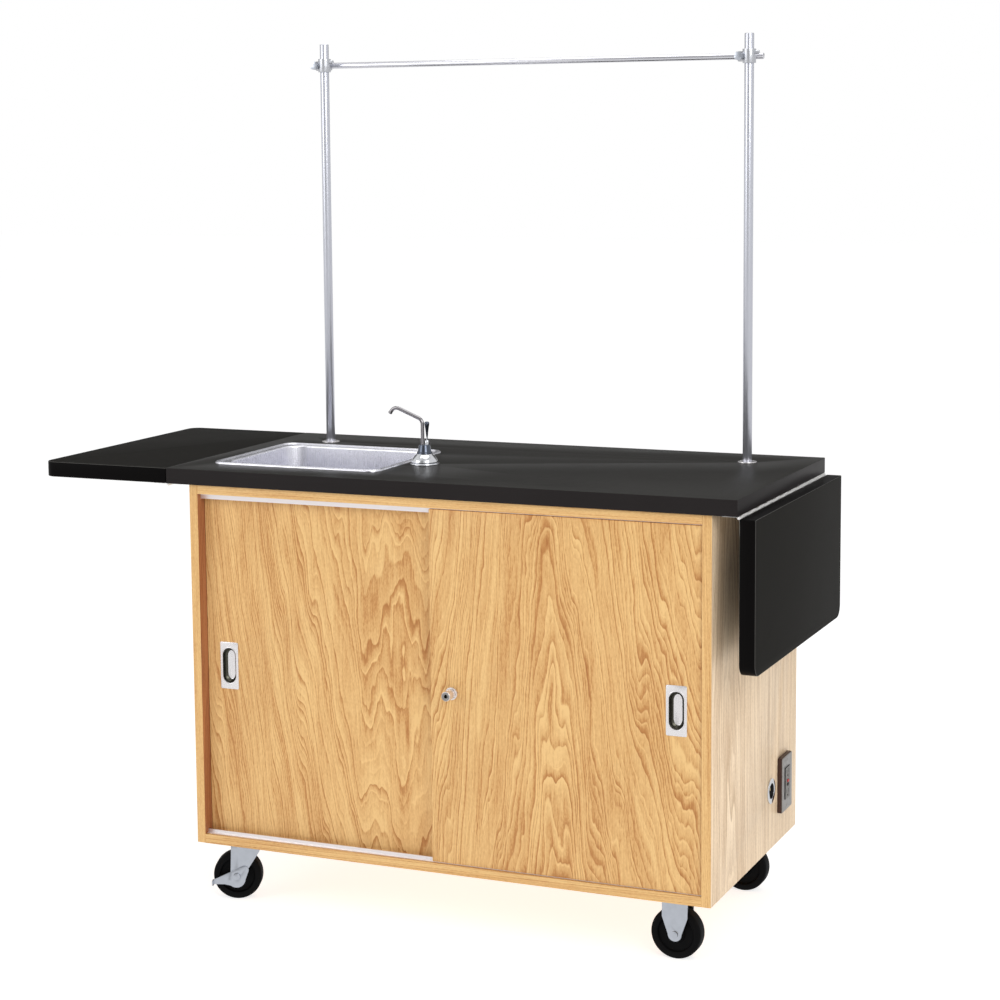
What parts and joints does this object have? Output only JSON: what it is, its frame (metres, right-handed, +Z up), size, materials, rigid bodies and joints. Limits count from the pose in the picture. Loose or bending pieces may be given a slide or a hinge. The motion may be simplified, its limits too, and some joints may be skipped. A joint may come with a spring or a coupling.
{
  "type": "mobile laboratory bench with rod rack",
  "caption": "Oak laboratory cabinet on casters with sliding doors, black worktop, sink, faucet, drop leaves and an upright rod rack.",
  "frame": {"origin": "on the floor, under the middle of the object's box as it stands with the left leaf raised and the right leaf down", "axes": "+X to the right as seen from the doors, -Y to the front where the doors are, +Z up"},
  "size_m": [1.553, 0.6296, 1.7848],
  "materials": {
    "oak_panel": "clear satin lacquer over oak veneer",
    "oak_door": "clear satin lacquer over oak veneer",
    "black_top": "satin black laminate",
    "zinc_steel": "zinc plated, dull",
    "stainless": "brushed stainless",
    "chrome": "polished plate",
    "aluminium": "satin anodised",
    "black_rubber": "matt black",
    "white_plastic": "translucent white, matt",
    "blue_plastic": "matt blue",
    "brown_plastic": "dark brown, satin",
    "black_plastic": "black, satin",
    "red_plastic": "red, satin"
  },
  "bodies": {
    "bench": {"left_side_panel": "oak_panel", "right_side_panel": "oak_panel", "bottom_panel": "oak_panel", "top_panel": "oak_panel", "back_panel": "oak_panel", "centre_divider": "oak_panel", "cabinet_shelf": "oak_panel", "shelf_pins": "zinc_steel", "door_tracks": "aluminium", "worktop": "black_top", "sink_basin": "stainless", "sink_drain": "chrome", "water_tanks": "white_plastic", "tank_caps": "blue_plastic", "supply_pipe": "chrome", "faucet_base": "chrome", "rod_sockets": "zinc_steel", "upright_rods": "aluminium", "top_hinges": "zinc_steel", "stay_wall_brackets": "zinc_steel", "outlet_box": "brown_plastic", "outlet_plate": "stainless", "outlet_receptacle": "black_plastic", "power_inlet": "zinc_steel", "wiring_conduit": "zinc_steel", "swivel_plates": "zinc_steel", "rigid_forks": "zinc_steel", "caster_bolts": "zinc_steel"},
    "left_leaf": {"left_leaf": "black_top", "left_leaf_hinge_plate": "zinc_steel", "left_stay_ears": "zinc_steel"},
    "right_leaf": {"right_leaf": "black_top", "right_leaf_hinge_plate": "zinc_steel", "right_stay_ears": "zinc_steel"},
    "front_door": {"front_door": "oak_door", "front_door_pull": "stainless", "lock_housing": "chrome"},
    "rear_door": {"rear_door": "oak_door", "rear_door_pull": "stainless"},
    "crossbar": {"crossbar": "aluminium", "crossbar_clamps": "aluminium"},
    "left_stay_lower": {"left_stay_lower": "zinc_steel"},
    "left_stay_upper": {"left_stay_upper": "zinc_steel"},
    "right_stay_lower": {"right_stay_lower": "zinc_steel"},
    "right_stay_upper": {"right_stay_upper": "zinc_steel"},
    "lock_plunger": {"lock_plunger": "chrome"},
    "faucet_spout": {"faucet_spout": "chrome"},
    "faucet_lever": {"faucet_lever": "chrome"},
    "left_clamp_screw": {"left_clamp_screw": "zinc_steel"},
    "right_clamp_screw": {"right_clamp_screw": "zinc_steel"},
    "test_button": {"test_button": "black_plastic"},
    "reset_button": {"reset_button": "red_plastic"},
    "front_left_fork": {"front_left_fork": "zinc_steel"},
    "rear_left_fork": {"rear_left_fork": "zinc_steel"},
    "front_left_wheel": {"front_left_wheel": "black_rubber"},
    "rear_left_wheel": {"rear_left_wheel": "black_rubber"},
    "front_right_wheel": {"front_right_wheel": "black_rubber"},
    "rear_right_wheel": {"rear_right_wheel": "black_rubber"},
    "front_left_brake": {"front_left_brake": "zinc_steel"},
    "rear_left_brake": {"rear_left_brake": "zinc_steel"}
  },
  "joints": [
    {"name": "left_leaf_hinge", "type": "hinge", "parent": "bench", "child": "left_leaf", "pos_m": [-0.47887, -0.2888, 0.87945], "axis": [0, -1, 0], "range_deg": [0, 90]},
    {"name": "right_leaf_hinge", "type": "hinge", "parent": "bench", "child": "right_leaf", "pos_m": [0.74152, -0.2888, 0.87945], "axis": [0, -1, 0], "range_deg": [0, 90]},
    {"name": "left_stay_lower_pivot", "type": "hinge", "parent": "bench", "child": "left_stay_lower", "pos_m": [-0.43688, -0.2888, 0.79945], "axis": [0, -1, 0], "range_deg": [-48.03, 0]},
    {"name": "right_stay_lower_pivot", "type": "hinge", "parent": "bench", "child": "right_stay_lower", "pos_m": [0.69952, -0.2888, 0.79945], "axis": [0, -1, 0], "range_deg": [-48.03, 0]},
    {"name": "left_stay_upper_pivot", "type": "hinge", "parent": "left_leaf", "child": "left_stay_upper", "pos_m": [-0.59888, -0.2888, 0.87145], "axis": [0, -1, 0], "range_deg": [0, 17.36]},
    {"name": "right_stay_upper_pivot", "type": "hinge", "parent": "right_leaf", "child": "right_stay_upper", "pos_m": [0.73352, -0.2888, 0.75945], "axis": [0, -1, 0], "range_deg": [0, 17.36]},
    {"name": "front_door_slide", "type": "slide", "parent": "bench", "child": "front_door", "axis": [1, 0, 0], "range_m": [-0.517, 0]},
    {"name": "rear_door_slide", "type": "slide", "parent": "bench", "child": "rear_door", "axis": [-1, 0, 0], "range_m": [-0.478, 0]},
    {"name": "lock_push", "type": "slide", "parent": "front_door", "child": "lock_plunger", "axis": [0, 1, 0], "range_m": [0, 0.014]},
    {"name": "spout_swivel", "type": "hinge", "parent": "bench", "child": "faucet_spout", "pos_m": [-0.00728, -0.0598, 0.9144], "axis": [0, 0, 1], "range_deg": [-100, 100]},
    {"name": "faucet_lever_pivot", "type": "hinge", "parent": "bench", "child": "faucet_lever", "pos_m": [0.00272, -0.0598, 0.9604], "axis": [0, 1, 0], "range_deg": [0, 40]},
    {"name": "crossbar_slide", "type": "slide", "parent": "bench", "child": "crossbar", "axis": [0, 0, 1], "range_m": [-0.75, 0.025]},
    {"name": "left_screw_turn", "type": "hinge", "parent": "crossbar", "child": "left_clamp_screw", "pos_m": [-0.3673, 0.20767, 1.7394], "axis": [0, 1, 0], "range_deg": [0, 180]},
    {"name": "right_screw_turn", "type": "hinge", "parent": "crossbar", "child": "right_clamp_screw", "pos_m": [0.5929, 0.20767, 1.7394], "axis": [0, 1, 0], "range_deg": [0, 180]},
    {"name": "test_button_push", "type": "slide", "parent": "bench", "child": "test_button", "axis": [-1, 0, 0], "range_m": [0, 0.0015], "stiffness_N_per_m": 800},
    {"name": "reset_button_push", "type": "slide", "parent": "bench", "child": "reset_button", "axis": [-1, 0, 0], "range_m": [0, 0.0015], "stiffness_N_per_m": 800},
    {"name": "front_left_swivel", "type": "hinge", "parent": "bench", "child": "front_left_fork", "pos_m": [-0.35168, -0.2188, 0.115], "axis": [0, 0, 1], "continuous": true},
    {"name": "rear_left_swivel", "type": "hinge", "parent": "bench", "child": "rear_left_fork", "pos_m": [-0.35168, 0.2192, 0.115], "axis": [0, 0, 1], "continuous": true},
    {"name": "front_left_wheel_spin", "type": "hinge", "parent": "front_left_fork", "child": "front_left_wheel", "pos_m": [-0.36859, -0.22496, 0.0508], "axis": [-0.342, 0.9397, 0], "continuous": true},
    {"name": "rear_left_wheel_spin", "type": "hinge", "parent": "rear_left_fork", "child": "rear_left_wheel", "pos_m": [-0.36859, 0.22536, 0.0508], "axis": [0.342, 0.9397, 0], "continuous": true},
    {"name": "front_right_wheel_spin", "type": "hinge", "parent": "bench", "child": "front_right_wheel", "pos_m": [0.60132, -0.2188, 0.0508], "axis": [0, 1, 0], "continuous": true},
    {"name": "rear_right_wheel_spin", "type": "hinge", "parent": "bench", "child": "rear_right_wheel", "pos_m": [0.60132, 0.2192, 0.0508], "axis": [0, 1, 0], "continuous": true},
    {"name": "front_left_brake_pivot", "type": "hinge", "parent": "front_left_fork", "child": "front_left_brake", "pos_m": [-0.36859, -0.22496, 0.0508], "axis": [-0.342, 0.9397, 0], "range_deg": [0, 40]},
    {"name": "rear_left_brake_pivot", "type": "hinge", "parent": "rear_left_fork", "child": "rear_left_brake", "pos_m": [-0.36859, 0.22536, 0.0508], "axis": [0.342, 0.9397, 0], "range_deg": [0, 40]}
  ],
  "couplings": [
    {"joint": "left_stay_lower_pivot", "follows": "left_leaf_hinge", "ratio": -0.53353},
    {"joint": "left_stay_upper_pivot", "follows": "left_leaf_hinge", "ratio": 0.19282},
    {"joint": "right_stay_lower_pivot", "follows": "right_leaf_hinge", "ratio": -0.53353},
    {"joint": "right_stay_upper_pivot", "follows": "right_leaf_hinge", "ratio": 0.19282}
  ]
}
